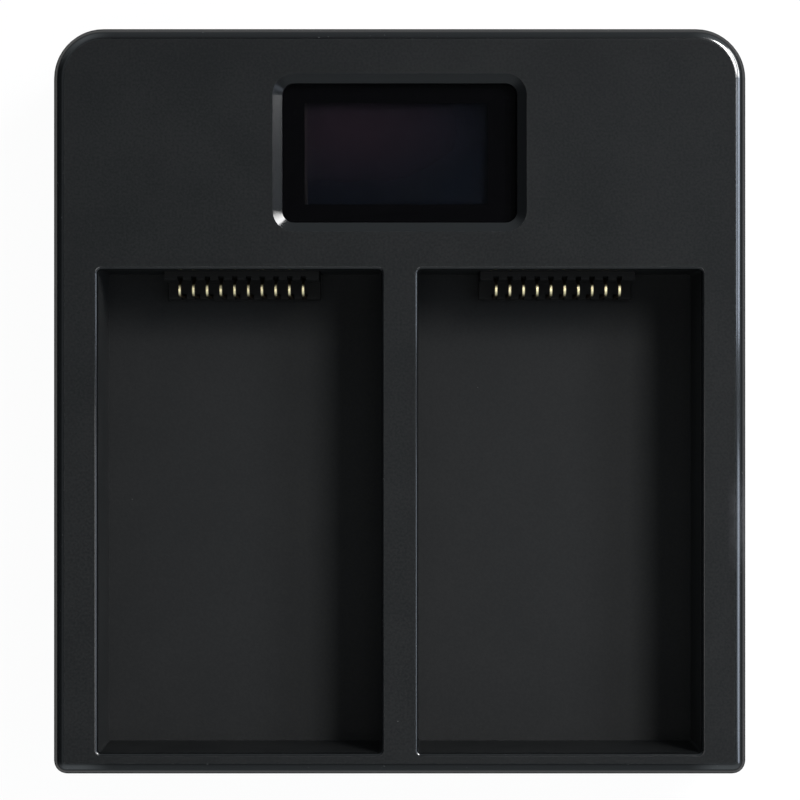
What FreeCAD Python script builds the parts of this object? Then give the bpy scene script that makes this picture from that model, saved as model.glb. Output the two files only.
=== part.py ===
"""Battery charging dock: two open battery bays, a display head and a power inlet.

Millimetres, +Z up. The origin lies under the middle of the footprint, on the surface that the
rubber feet stand on, and +Y points from the bays to the display.
"""
import FreeCAD, Part
import Sketcher
import math
import os
from types import SimpleNamespace

DIMENSIONS = {
    # battery bays, open at the top
    "bay_width": 35.1,
    "bay_length": 59.9,
    "bay_depth": 11.0,
    "bay_corner_radius": 0.4,
    "bay_rim_radius": 0.4,
    "bay_divider": 4.6,
    "bay_wall": 1.6,
    "divider_wall": 1.5,
    "bay_floor": 1.6,
    # land around the bays and the display
    "side_margin": 5.6,
    "front_margin": 2.7,
    "screen_front_margin": 4.7,
    "screen_back_margin": 5.7,
    # outer shell
    "rear_corner_radius": 6.2,
    "front_corner_step": 0.15,
    "top_edge_radius": 1.5,
    "wall": 2.0,
    "top_plate": 1.8,
    "seam_bevel": 0.25,
    "fit_clearance": 0.1,
    # bottom cover
    "cover_floor": 1.8,
    "cover_edge_radius": 0.7,
    "support_height": 2.6,
    "support_rib": 1.2,
    "support_spacing": 17.0,
    "support_end_gap": 4.2,
    "lip_height": 1.0,
    "lip_skin": 1.0,
    # rubber feet
    "foot_standoff": 1.0,
    "foot_recess": 0.5,
    "foot_radius": 4.0,
    "foot_edge_radius": 0.4,
    "foot_side_inset": 10.5,
    "foot_end_inset": 7.0,
    # display window and what lies under it
    "window_width": 29.2,
    "window_length": 17.3,
    "window_thickness": 1.2,
    "window_corner_radius": 1.5,
    "window_edge_bevel": 0.15,
    "screen_bevel": 1.15,
    "screen_bevel_depth": 0.45,
    "gasket_thickness": 0.25,
    "mask_side_border": 3.2,
    "mask_end_border": 2.35,
    "view_shift": 0.4,
    "ledge_thickness": 0.8,
    "ledge_setback": 0.6,
    "collar_wall": 1.5,
    "glass_thickness": 0.75,
    "lcd_side_border": 2.4,
    "lcd_end_border": 2.15,
    "lcd_bond_ledge": 2.0,
    "backlight_thickness": 1.6,
    "carrier_wall": 1.2,
    "carrier_floor": 0.8,
    "carrier_leg": 2.0,
    "ribbon_width": 12.0,
    "ribbon_thickness": 0.15,
    "ribbon_bend": 0.8,
    "ribbon_overlap": 1.5,
    # circuit board and what it carries
    "board_thickness": 1.6,
    "board_clearance": 2.6,
    "board_gap": 0.5,
    "board_corner_radius": 1.0,
    "chip_width": 3.9,
    "chip_height": 1.5,
    "chip_bevel": 0.25,
    "controller_leads": 8,
    "charger_leads": 4,
    "lead_pitch": 1.27,
    "lead_width": 0.42,
    "lead_length": 1.05,
    "lead_thickness": 0.25,
    "chip_side_gap": 3.0,
    "capacitor_base": 5.3,
    "capacitor_base_height": 0.9,
    "capacitor_radius": 2.5,
    "capacitor_height": 5.4,
    "capacitor_crown": 0.5,
    # power inlet
    "usb_width": 8.94,
    "usb_height": 3.26,
    "usb_length": 7.35,
    "usb_side_flat": 0.2,
    "usb_sheet": 0.3,
    "usb_setback": 0.4,
    "usb_base": 1.8,
    "usb_tab": 1.0,
    "tongue_width": 6.7,
    "tongue_thickness": 0.7,
    "tongue_setback": 0.9,
    # terminal blocks and their leaf contacts
    "contact_pitch": 1.72,
    "contact_count": 10,
    "contact_width": 0.36,
    "contact_thickness": 0.2,
    "contact_bend": 0.5,
    "contact_rise": 0.35,
    "crest_bend": 0.7,
    "crest_length": 1.2,
    "leaf_reach": 2.1,
    "leaf_drop": 1.9,
    "tail_length": 1.2,
    "slot_width": 0.7,
    "slot_depth": 2.6,
    "flex_room": 0.3,
    "block_end": 1.95,
    "block_reach": 3.3,
    "block_height": 7.0,
    "block_base": 1.6,
    "block_gap": 0.2,
    "comb_depth": 1.1,
    "block_edge_radius": 0.3,
    "flange_thickness": 1.6,
    "flange_overlap": 1.0,
    # screws
    "boss_skin": 0.4,
    "screw_end_inset": 6.8,
    "screw_radius": 1.0,
    "screw_length": 8.0,
    "screw_head_radius": 1.7,
    "screw_head_height": 1.3,
    "screw_head_round": 0.5,
    "screw_head_depth": 2.2,
    "screw_point": 0.6,
    "recess_arm": 0.95,
    "recess_width": 0.42,
    "recess_depth": 0.7,
    "board_screw_length": 6.0,
    "board_screw_gap": 6.0,
    "board_screw_inset": 6.5,
    "board_boss_radius": 2.2,
    "hole_end_room": 0.8,
}


class Dim:
    """A length together with the sheet formula that gives it."""

    def __init__(self, value, formula):
        self.value = value
        self.formula = formula

    def joined(self, sign, other, value):
        return Dim(value, f"({self.formula} {sign} {other.formula})")

    def __add__(self, other):
        other = as_dim(other)
        return self.joined("+", other, self.value + other.value)

    def __sub__(self, other):
        other = as_dim(other)
        return self.joined("-", other, self.value - other.value)

    def __mul__(self, other):
        other = as_dim(other)
        return self.joined("*", other, self.value * other.value)

    def __truediv__(self, other):
        other = as_dim(other)
        return self.joined("/", other, self.value / other.value)

    def __rmul__(self, other):
        return as_dim(other) * self

    def __neg__(self):
        return Dim(-self.value, f"(0 - {self.formula})")


def as_dim(number):
    return number if isinstance(number, Dim) else Dim(number, str(number))


doc = FreeCAD.newDocument("battery_charging_dock")
sheet = doc.addObject("Spreadsheet::Sheet", "Sizes")
for row, (alias, value) in enumerate(DIMENSIONS.items(), start=1):
    sheet.set(f"A{row}", alias)
    sheet.set(f"B{row}", str(value))
    sheet.setAlias(f"B{row}", alias)
doc.recompute()
size = SimpleNamespace(**{alias: Dim(sheet.get(alias), f"Sizes.{alias}") for alias in DIMENSIONS})
zero = as_dim(0)

# Plan: half sizes of the body, the bays and the display opening
bay_center_x = (size.bay_divider + size.bay_width) / 2
bay_outer_x = size.bay_divider / 2 + size.bay_width
half_width = bay_outer_x + size.side_margin
surround_length = size.window_length + 2 * size.screen_bevel
head_length = size.screen_front_margin + surround_length + size.screen_back_margin
half_length = (size.front_margin + size.bay_length + head_length) / 2
bay_front_y = size.front_margin - half_length
bay_head_y = bay_front_y + size.bay_length
head_wall_y = bay_head_y + size.bay_wall
screen_y = bay_head_y + size.screen_front_margin + surround_length / 2
front_corner_radius = size.top_edge_radius + size.front_corner_step

# Heights above the surface that the feet stand on
cover_top_z = size.foot_standoff + size.cover_floor
seam_z = cover_top_z + size.support_height
bay_floor_z = seam_z + size.bay_floor
top_z = bay_floor_z + size.bay_depth
roof_z = top_z - size.top_plate
window_top_z = top_z - size.screen_bevel_depth
gasket_top_z = window_top_z - size.window_thickness
ledge_top_z = gasket_top_z - size.gasket_thickness
ledge_bottom_z = ledge_top_z - size.ledge_thickness
lcd_top_z = ledge_bottom_z - size.fit_clearance
lcd_step_z = lcd_top_z - size.glass_thickness
lcd_bottom_z = lcd_step_z - size.glass_thickness
carrier_seat_z = lcd_bottom_z - size.backlight_thickness
carrier_bottom_z = carrier_seat_z - size.carrier_floor
board_bottom_z = cover_top_z + size.board_clearance
board_top_z = board_bottom_z + size.board_thickness
block_top_z = bay_floor_z + size.block_height
base_top_z = bay_floor_z + size.block_base

# What shows through the window, the display cell and its carrier, in plan
half_view_width = size.window_width / 2 - size.mask_side_border
half_view_length = size.window_length / 2 - size.mask_end_border
lcd_half_width = half_view_width + size.lcd_side_border
lcd_half_length = half_view_length + size.lcd_end_border
carrier_half_width = lcd_half_width + size.fit_clearance + size.carrier_wall
carrier_half_length = lcd_half_length + size.fit_clearance + size.carrier_wall

# Screws: the housing bosses fill the side lands, the board is held between display and side
boss_radius = size.side_margin / 2 - size.boss_skin
screw_x = half_width - size.side_margin / 2
screw_ys = (size.screw_end_inset - half_length, half_length - size.screw_end_inset - size.wall)
board_half_width = screw_x - boss_radius - size.board_gap
board_front_y = head_wall_y + size.board_gap
board_back_y = half_length - size.wall - size.board_gap
board_screw_x = carrier_half_width + size.board_screw_gap + size.board_boss_radius
board_screw_y = board_back_y - size.board_screw_inset
component_back_y = board_screw_y - size.board_boss_radius - size.board_gap
screw_hole_radius = size.screw_radius + size.fit_clearance / 2
screw_seat_z = size.foot_standoff + size.screw_head_depth

# Terminal block and contact lines, seen along X
block_half_width = size.contact_pitch * (size.contact_count - 1) / 2 + size.block_end
block_front_y = bay_head_y - size.block_reach
comb_front_y = bay_head_y - size.comb_depth
flange_front_y = head_wall_y + size.fit_clearance
flange_back_y = flange_front_y + size.flange_thickness
leg_y = block_front_y + size.contact_thickness + size.fit_clearance


def new_body(label):
    body = doc.addObject("PartDesign::Body", label)
    body.Label = label
    return body


def new_sketch(body, name, plane="XY_Plane", level=None):
    """Sketch on one of the body's own origin planes, lifted along that plane's normal."""
    sketch = body.newObject("Sketcher::SketchObject", name)
    support = next(item for item in body.Origin.OriginFeatures if item.Role == plane)
    sketch.AttachmentSupport = [(support, "")]
    sketch.MapMode = "FlatFace"
    if level is not None:
        sketch.setExpression("AttachmentOffset.Base.z", level.formula)
    return sketch


def constrain(sketch, dim, *terms):
    """Add one dimension to the sketch and bind it to the sheet."""
    index = sketch.addConstraint(Sketcher.Constraint(*terms, dim.value))
    name = f"size_{index}"
    sketch.renameConstraint(index, name)
    sketch.setExpression(f"Constraints.{name}", dim.formula)


def pin(sketch, geometry, vertex, u, v):
    """Hold a sketch point at u, v from the sketch origin."""
    for kind, axis, dim in (("DistanceX", -2, u), ("DistanceY", -1, v)):
        if dim is zero:
            sketch.addConstraint(Sketcher.Constraint("PointOnObject", geometry, vertex, axis))
        else:
            constrain(sketch, dim, kind, -1, 1, geometry, vertex)


def trace(sketch, corners, radii=None, closed=True):
    """Draw straight edges from corner to corner, with a tangent arc at each corner that has a radius."""
    radii = radii or {}
    points = [FreeCAD.Vector(u.value, v.value, 0) for u, v in corners]
    count = len(points)
    entries = list(points)
    exits = list(points)
    arcs = {}
    for i, radius in radii.items():
        before = (points[i] - points[i - 1]).normalize()
        after = (points[(i + 1) % count] - points[i]).normalize()
        left = FreeCAD.Vector(-before.y, before.x, 0)
        turn = math.copysign(before.getAngle(after), left.dot(after))
        trim = radius.value * math.tan(abs(turn) / 2)
        entries[i] = points[i] - before * trim
        exits[i] = points[i] + after * trim
        side = math.copysign(1, turn)
        center = entries[i] + left * side * radius.value
        start, end = (entries[i], exits[i]) if turn > 0 else (exits[i], entries[i])
        angles = [math.atan2(p.y - center.y, p.x - center.x) for p in (start, end)]
        circle = Part.Circle(center, FreeCAD.Vector(0, 0, 1), radius.value)
        arcs[i] = (Part.ArcOfCircle(circle, *angles), turn)
    last = count if closed else count - 1
    lines = {}
    for i in range(last):
        lines[i] = sketch.addGeometry(Part.LineSegment(exits[i], entries[(i + 1) % count]), False)
    for i, (u, v) in enumerate(corners):
        into = lines.get((i - 1) % count) if closed or i > 0 else None
        out = lines.get(i)
        if i in arcs:
            arc, turn = arcs[i]
            bend = sketch.addGeometry(arc, False)
            first, second = (1, 2) if turn > 0 else (2, 1)
            sketch.addConstraint(Sketcher.Constraint("Tangent", into, 2, bend, first))
            sketch.addConstraint(Sketcher.Constraint("Tangent", bend, second, out, 1))
            constrain(sketch, radii[i], "Radius", bend)
            corner = sketch.addGeometry(Part.Point(points[i]), True)
            pin(sketch, corner, 1, u, v)
            sketch.addConstraint(Sketcher.Constraint("PointOnObject", corner, 1, into))
            sketch.addConstraint(Sketcher.Constraint("PointOnObject", corner, 1, out))
        elif out is None:
            pin(sketch, into, 2, u, v)
        else:
            pin(sketch, out, 1, u, v)
            if into is not None:
                sketch.addConstraint(Sketcher.Constraint("Coincident", into, 2, out, 1))


def rectangle(sketch, left, right, bottom, top, front_radius=None, back_radius=None):
    """Closed rectangle; the bottom and top pairs of corners may be rounded."""
    corners = [(left, bottom), (right, bottom), (right, top), (left, top)]
    radii = {}
    if front_radius:
        radii.update({0: front_radius, 1: front_radius})
    if back_radius:
        radii.update({2: back_radius, 3: back_radius})
    trace(sketch, corners, radii)


def circle(sketch, u, v, radius):
    center = FreeCAD.Vector(u.value, v.value, 0)
    ring = sketch.addGeometry(Part.Circle(center, FreeCAD.Vector(0, 0, 1), radius.value), False)
    pin(sketch, ring, 3, u, v)
    constrain(sketch, radius, "Radius", ring)


def pad(body, name, sketch, length, reverse=False):
    feature = body.newObject("PartDesign::Pad", name)
    feature.Profile = sketch
    feature.setExpression("Length", length.formula)
    feature.Reversed = reverse
    doc.recompute()
    return feature


def pocket(body, name, sketch, depth, reverse=False):
    """Cut the sketch into the body and make sure that material came away."""
    volume = body.Shape.Volume
    feature = body.newObject("PartDesign::Pocket", name)
    feature.Profile = sketch
    feature.setExpression("Length", depth.formula)
    feature.Reversed = reverse
    doc.recompute()
    if body.Shape.Volume >= volume:
        raise RuntimeError(f"{body.Label}: {name} cuts nothing")
    return feature


def edges_where(shape, test):
    return [f"Edge{i}" for i, edge in enumerate(shape.Edges, start=1) if test(edge.BoundBox)]


def soften(body, kind, name, edges, amount):
    """Fillet or chamfer the named edges of the body's last feature."""
    feature = body.newObject(f"PartDesign::{kind}", name)
    feature.Base = (body.Group[-2], edges)
    feature.setExpression("Radius" if kind == "Fillet" else "Size", amount.formula)
    doc.recompute()
    return feature


def revolve(body, name, sketch):
    feature = body.newObject("PartDesign::Revolution", name)
    feature.Profile = sketch
    feature.ReferenceAxis = (sketch, ["V_Axis"])
    doc.recompute()
    return feature


def place(item, x, y, z):
    for axis, dim in zip("xyz", (x, y, z)):
        item.setExpression(f"Placement.Base.{axis}", dim.formula)


def flat_at(level):
    """Test for edges that lie in the plane at this height."""
    near = 1e-4
    return lambda box: abs(box.ZMin - level.value) < near and abs(box.ZMax - level.value) < near


def body_outline(sketch, inset=None):
    """Footprint of the dock, or a line inside it; only the outermost front corners are rounded."""
    inset = inset or zero
    side = half_width - inset
    end = half_length - inset
    front_radius = front_corner_radius if inset is zero else None
    rectangle(sketch, -side, side, -end, end, front_radius, size.rear_corner_radius - inset)


def make_top_housing():
    body = new_body("top_housing")
    blank = new_sketch(body, "housing_outline", level=seam_z)
    body_outline(blank)
    pad(body, "housing_blank", blank, top_z - seam_z)
    soften(body, "Fillet", "top_edge", edges_where(body.Shape, flat_at(top_z)), size.top_edge_radius)
    soften(body, "Chamfer", "seam_edge", edges_where(body.Shape, flat_at(seam_z)), size.seam_bevel)

    bays = new_sketch(body, "bay_outlines", level=top_z)
    corner = size.bay_corner_radius
    for left in (-bay_outer_x, size.bay_divider / 2):
        rectangle(bays, left, left + size.bay_width, bay_front_y, bay_head_y, corner, corner)
    pocket(body, "bays", bays, size.bay_depth)
    on_top = flat_at(top_z)
    rim_front = bay_front_y.value - size.bay_rim_radius.value
    rim_back = bay_head_y.value + size.bay_rim_radius.value
    rims = edges_where(body.Shape, lambda box: on_top(box) and box.YMin > rim_front and box.YMax < rim_back
                       and box.XMax < bay_outer_x.value + size.bay_rim_radius.value
                       and box.XMin > -bay_outer_x.value - size.bay_rim_radius.value)
    soften(body, "Fillet", "bay_rims", rims, size.bay_rim_radius)

    # one comb-shaped hollow: the display head, a slot beside each bay and a slot in the divider
    hollow = new_sketch(body, "hollow_outline", level=seam_z)
    outer = half_width - size.wall
    slot_in = bay_outer_x + size.bay_wall
    gap = size.bay_divider / 2 - size.divider_wall
    front = size.wall - half_length
    back = half_length - size.wall
    gap_front = bay_front_y + size.bay_wall
    corners = [(-outer, front), (-slot_in, front), (-slot_in, head_wall_y), (-gap, head_wall_y),
               (-gap, gap_front), (gap, gap_front), (gap, head_wall_y), (slot_in, head_wall_y),
               (slot_in, front), (outer, front), (outer, back), (-outer, back)]
    inner_radius = size.rear_corner_radius - size.wall
    trace(hollow, corners, {10: inner_radius, 11: inner_radius})
    pocket(body, "hollow", hollow, roof_z - seam_z, reverse=True)

    collar = new_sketch(body, "collar_outline", level=roof_z)
    collar_half_width = size.window_width / 2 + size.collar_wall
    collar_half_length = size.window_length / 2 + size.collar_wall
    rectangle(collar, -collar_half_width, collar_half_width,
              screen_y - collar_half_length, screen_y + collar_half_length)
    pad(body, "window_collar", collar, roof_z - ledge_bottom_z, reverse=True)

    seat = new_sketch(body, "window_seat_outline", level=top_z)
    half_seat_width = size.window_width / 2
    half_seat_length = size.window_length / 2
    rectangle(seat, -half_seat_width, half_seat_width, screen_y - half_seat_length,
              screen_y + half_seat_length, size.window_corner_radius, size.window_corner_radius)
    pocket(body, "window_seat", seat, top_z - ledge_top_z)
    margin = size.screen_bevel.value / 2
    rim = edges_where(body.Shape, lambda box: on_top(box)
                      and box.XMax < half_seat_width.value + margin
                      and box.XMin > -half_seat_width.value - margin
                      and box.YMin > screen_y.value - half_seat_length.value - margin
                      and box.YMax < screen_y.value + half_seat_length.value + margin)
    surround = soften(body, "Chamfer", "screen_surround", rim, size.screen_bevel)
    surround.ChamferType = "Two distances"
    surround.setExpression("Size2", size.screen_bevel_depth.formula)
    doc.recompute()

    view = new_sketch(body, "view_outline", level=top_z)
    half_opening_width = half_view_width + size.ledge_setback
    half_opening_length = half_view_length + size.ledge_setback
    rectangle(view, -half_opening_width - size.view_shift, half_opening_width - size.view_shift,
              screen_y - half_opening_length, screen_y + half_opening_length)
    pocket(body, "view_opening", view, top_z - ledge_bottom_z + size.fit_clearance)

    # the terminal blocks enter from below through the bay floor and the head wall
    gates = new_sketch(body, "terminal_outlines", level=seam_z)
    half_gate = block_half_width + size.block_gap
    for center in (-bay_center_x, bay_center_x):
        rectangle(gates, center - half_gate, center + half_gate,
                  block_front_y - size.block_gap, flange_front_y)
    pocket(body, "terminal_openings", gates, block_top_z + size.fit_clearance - seam_z, reverse=True)

    bosses = new_sketch(body, "boss_outlines", level=seam_z)
    holes = []
    for x in (-screw_x, screw_x):
        for y in screw_ys:
            circle(bosses, x, y, boss_radius)
            holes.append((x, y))
    pad(body, "screw_bosses", bosses, roof_z - seam_z)
    bores = new_sketch(body, "boss_bores", level=seam_z)
    for x, y in holes:
        circle(bores, x, y, screw_hole_radius)
    bore_depth = screw_seat_z + size.screw_length + size.hole_end_room - seam_z
    pocket(body, "screw_bores", bores, bore_depth, reverse=True)

    posts = new_sketch(body, "board_post_outlines", level=board_top_z)
    post_bores = new_sketch(body, "board_post_bores", level=board_top_z)
    for x in (-board_screw_x, board_screw_x):
        circle(posts, x, board_screw_y, size.board_boss_radius)
        circle(post_bores, x, board_screw_y, screw_hole_radius)
    pad(body, "board_posts", posts, roof_z - board_top_z)
    post_depth = size.board_screw_length + size.hole_end_room - size.board_thickness
    pocket(body, "board_post_holes", post_bores, post_depth, reverse=True)

    groove = new_sketch(body, "lip_groove_outline", level=seam_z)
    body_outline(groove, size.lip_skin)
    body_outline(groove, size.wall + size.fit_clearance)
    pocket(body, "lip_groove", groove, size.lip_height + size.fit_clearance, reverse=True)

    inlet = new_sketch(body, "inlet_outline", "XZ_Plane", -half_length)
    usb_outline(inlet, size.fit_clearance)
    pocket(body, "inlet_opening", inlet, size.wall + size.fit_clearance, reverse=True)
    return body


def make_bottom_cover():
    body = new_body("bottom_cover")
    blank = new_sketch(body, "cover_outline", level=size.foot_standoff)
    body_outline(blank)
    pad(body, "cover_blank", blank, seam_z - size.foot_standoff)
    under = edges_where(body.Shape, flat_at(size.foot_standoff))
    soften(body, "Fillet", "under_edge", under, size.cover_edge_radius)
    soften(body, "Chamfer", "seam_edge", edges_where(body.Shape, flat_at(seam_z)), size.seam_bevel)

    tray = new_sketch(body, "tray_outline", level=seam_z)
    body_outline(tray, size.wall)
    pocket(body, "tray", tray, size.support_height)
    lip = new_sketch(body, "lip_outline", level=seam_z)
    body_outline(lip, size.lip_skin + size.fit_clearance)
    body_outline(lip, size.wall)
    pad(body, "lip", lip, size.lip_height)

    pillars = new_sketch(body, "pillar_outlines", level=cover_top_z)
    bores = new_sketch(body, "pillar_bores", level=size.foot_standoff)
    sinks = new_sketch(body, "head_sinks", level=size.foot_standoff)
    for x in (-screw_x, screw_x):
        for y in screw_ys:
            circle(pillars, x, y, size.side_margin / 2 - size.fit_clearance)
            circle(bores, x, y, size.screw_radius + size.fit_clearance)
            circle(sinks, x, y, size.screw_head_radius + size.fit_clearance)
    pad(body, "screw_pillars", pillars, size.support_height)
    hole_depth = seam_z - size.foot_standoff + size.lip_height + size.fit_clearance
    pocket(body, "screw_holes", bores, hole_depth, reverse=True)
    pocket(body, "screw_sinks", sinks, size.screw_head_depth, reverse=True)

    ribs = new_sketch(body, "support_rib_outlines", level=cover_top_z)
    rib_front = bay_front_y + size.support_spacing / 2
    rib_back = block_front_y - size.support_end_gap
    for center in (-bay_center_x, bay_center_x):
        for shift in (-size.support_spacing / 2, size.support_spacing / 2):
            left = center + shift - size.support_rib / 2
            rectangle(ribs, left, left + size.support_rib, rib_front, rib_back)
    pad(body, "support_ribs", ribs, size.support_height)

    recesses = new_sketch(body, "foot_recess_outlines", level=size.foot_standoff)
    for x, y in foot_places().values():
        circle(recesses, x, y, size.foot_radius + size.fit_clearance)
    pocket(body, "foot_recesses", recesses, size.foot_recess, reverse=True)
    return body


def foot_places():
    x = half_width - size.foot_side_inset
    y = half_length - size.foot_end_inset
    return {"foot_front_left": (-x, -y), "foot_front_right": (x, -y),
            "foot_rear_left": (-x, y), "foot_rear_right": (x, y)}


def make_foot(label, x, y):
    body = new_body(label)
    profile = new_sketch(body, "foot_profile", "XZ_Plane")
    height = size.foot_standoff + size.foot_recess
    corners = [(zero, zero), (size.foot_radius, zero), (size.foot_radius, height), (zero, height)]
    trace(profile, corners, {1: size.foot_edge_radius})
    revolve(body, "foot_disc", profile)
    place(body, x, y, zero)
    return body


def make_display_window():
    body = new_body("display_window")
    sheet_outline = new_sketch(body, "window_outline", level=gasket_top_z)
    half_window_width = size.window_width / 2 - size.fit_clearance
    half_window_length = size.window_length / 2 - size.fit_clearance
    corner = size.window_corner_radius - size.fit_clearance
    rectangle(sheet_outline, -half_window_width, half_window_width, screen_y - half_window_length,
              screen_y + half_window_length, corner, corner)
    pad(body, "window_sheet", sheet_outline, size.window_thickness)
    upper = edges_where(body.Shape, flat_at(window_top_z))
    soften(body, "Chamfer", "polished_edge", upper, size.window_edge_bevel)
    return body


def make_window_gasket():
    body = new_body("window_gasket")
    frame = new_sketch(body, "gasket_outline", level=ledge_top_z)
    half_frame_width = size.window_width / 2 - 2 * size.fit_clearance
    half_frame_length = size.window_length / 2 - 2 * size.fit_clearance
    corner = size.window_corner_radius - 2 * size.fit_clearance
    rectangle(frame, -half_frame_width, half_frame_width, screen_y - half_frame_length,
              screen_y + half_frame_length, corner, corner)
    rectangle(frame, -half_view_width - size.view_shift, half_view_width - size.view_shift,
              screen_y - half_view_length, screen_y + half_view_length)
    pad(body, "gasket_frame", frame, size.gasket_thickness)
    return body


def make_lcd_panel():
    """Two bonded glass plates; the lower one is longer, to bare the edge that the ribbon is bonded to."""
    body = new_body("lcd_panel")
    lower = new_sketch(body, "lower_glass_outline", level=lcd_bottom_z)
    left = -lcd_half_width - size.view_shift
    right = lcd_half_width - size.view_shift
    rectangle(lower, left, right, screen_y - lcd_half_length, screen_y + lcd_half_length)
    pad(body, "lower_glass", lower, size.glass_thickness)
    upper = new_sketch(body, "upper_glass_outline", level=lcd_step_z)
    upper_front = screen_y - lcd_half_length + size.lcd_bond_ledge
    rectangle(upper, left, right, upper_front, screen_y + lcd_half_length)
    pad(body, "upper_glass", upper, size.glass_thickness)
    return body


def make_lcd_backlight():
    body = new_body("lcd_backlight")
    plate = new_sketch(body, "light_guide_outline", level=carrier_seat_z)
    rectangle(plate, -lcd_half_width - size.view_shift, lcd_half_width - size.view_shift,
              screen_y - lcd_half_length, screen_y + lcd_half_length)
    pad(body, "light_guide", plate, size.backlight_thickness)
    return body


def make_lcd_frame():
    """Carrier tray that stands on the board on four legs and holds the light guide and the cell."""
    body = new_body("lcd_frame")
    tray = new_sketch(body, "carrier_outline", level=carrier_bottom_z)
    rectangle(tray, -carrier_half_width - size.view_shift, carrier_half_width - size.view_shift,
              screen_y - carrier_half_length, screen_y + carrier_half_length)
    pad(body, "carrier_tray", tray, lcd_step_z - carrier_bottom_z)
    inside = new_sketch(body, "carrier_inside", level=lcd_step_z)
    half_in_width = lcd_half_width + size.fit_clearance
    half_in_length = lcd_half_length + size.fit_clearance
    rectangle(inside, -half_in_width - size.view_shift, half_in_width - size.view_shift,
              screen_y - half_in_length, screen_y + half_in_length)
    pocket(body, "carrier_hollow", inside, lcd_step_z - carrier_seat_z)
    legs = new_sketch(body, "leg_outlines", level=board_top_z)
    leg_in = carrier_half_width - size.carrier_leg
    leg_middle = carrier_half_length / 2
    for left in (-carrier_half_width - size.view_shift, leg_in - size.view_shift):
        for middle in (screen_y - leg_middle, screen_y + leg_middle):
            rectangle(legs, left, left + size.carrier_leg,
                      middle - size.carrier_leg / 2, middle + size.carrier_leg / 2)
    pad(body, "carrier_legs", legs, carrier_bottom_z - board_top_z)
    return body


def formed_strip(body, corners, radii, width, thickness):
    """Sweep a flat strip along a bent line in the body's YZ plane; the line starts along Y."""
    path = new_sketch(body, "strip_path", "YZ_Plane")
    trace(path, corners, radii, closed=False)
    start_y, start_z = corners[0]
    section = new_sketch(body, "strip_section", "XZ_Plane", -start_y)
    rectangle(section, -width / 2, width / 2, start_z - thickness / 2, start_z + thickness / 2)
    doc.recompute()
    strip = body.newObject("PartDesign::AdditivePipe", "formed_strip")
    strip.Profile = section
    strip.Spine = path
    doc.recompute()
    return strip


def make_lcd_ribbon():
    """Flexible connection from the bared glass edge, over the carrier's front and back under it."""
    body = new_body("lcd_ribbon")
    half = size.ribbon_thickness / 2
    bond_y = screen_y - lcd_half_length + size.ribbon_overlap
    drop_y = screen_y - carrier_half_length - size.ribbon_bend
    foot_y = screen_y - carrier_half_length + size.ribbon_overlap
    corners = [(bond_y, lcd_step_z + half), (drop_y, lcd_step_z + half),
               (drop_y, board_top_z + half), (foot_y, board_top_z + half)]
    formed_strip(body, corners, {1: size.ribbon_bend, 2: size.ribbon_bend},
                 size.ribbon_width, size.ribbon_thickness)
    place(body, -size.view_shift, zero, zero)
    return body


def make_main_board():
    body = new_body("main_board")
    plate = new_sketch(body, "board_outline", level=board_bottom_z)
    corner = size.board_corner_radius
    rectangle(plate, -board_half_width, board_half_width, board_front_y, board_back_y, corner, corner)
    pad(body, "board_plate", plate, size.board_thickness)
    holes = new_sketch(body, "board_holes", level=board_bottom_z)
    for x in (-board_screw_x, board_screw_x):
        circle(holes, x, board_screw_y, size.screw_radius + size.fit_clearance)
    pocket(body, "screw_holes", holes, size.board_thickness, reverse=True)
    return body


def make_chip(label, leads, x):
    """Moulded chip with a row of flat leads along each side, standing on the board."""
    body = new_body(label)
    half_length = size.lead_pitch * leads / 2
    half_chip = size.chip_width / 2
    block = new_sketch(body, "package_outline", level=size.lead_thickness / 2)
    rectangle(block, -half_chip, half_chip, -half_length, half_length)
    package_height = size.chip_height - size.lead_thickness / 2
    pad(body, "package", block, package_height)
    upper = edges_where(body.Shape, flat_at(size.chip_height))
    soften(body, "Chamfer", "package_edge", upper, size.chip_bevel)
    feet = new_sketch(body, "lead_outlines")
    for row in range(int(leads.value)):
        middle = size.lead_pitch * (2 * row + 1) / 2 - half_length
        for left in (-half_chip - size.lead_length, half_chip - size.lead_thickness):
            rectangle(feet, left, left + size.lead_length + size.lead_thickness,
                      middle - size.lead_width / 2, middle + size.lead_width / 2)
    pad(body, "leads", feet, size.lead_thickness)
    place(body, x, component_back_y - half_length, board_top_z)
    return body


def make_input_capacitor(x):
    body = new_body("input_capacitor")
    base = new_sketch(body, "base_outline")
    half = size.capacitor_base / 2
    rectangle(base, -half, half, -half, half)
    pad(body, "base", base, size.capacitor_base_height)
    can = new_sketch(body, "can_outline", level=size.capacitor_base_height)
    circle(can, zero, zero, size.capacitor_radius)
    pad(body, "can", can, size.capacitor_height - size.capacitor_base_height)
    crown = edges_where(body.Shape, flat_at(size.capacitor_height))
    soften(body, "Fillet", "crown", crown, size.capacitor_crown)
    place(body, x, component_back_y - half, board_top_z)
    return body


def usb_outline(sketch, offset):
    """Flat oval of the power inlet, grown by the offset, standing on the board."""
    half_usb_width = size.usb_width / 2 + offset
    radius = (size.usb_height - size.usb_side_flat) / 2 + offset
    rectangle(sketch, -half_usb_width, half_usb_width, board_top_z - offset,
              board_top_z + size.usb_height + offset, radius, radius)


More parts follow.
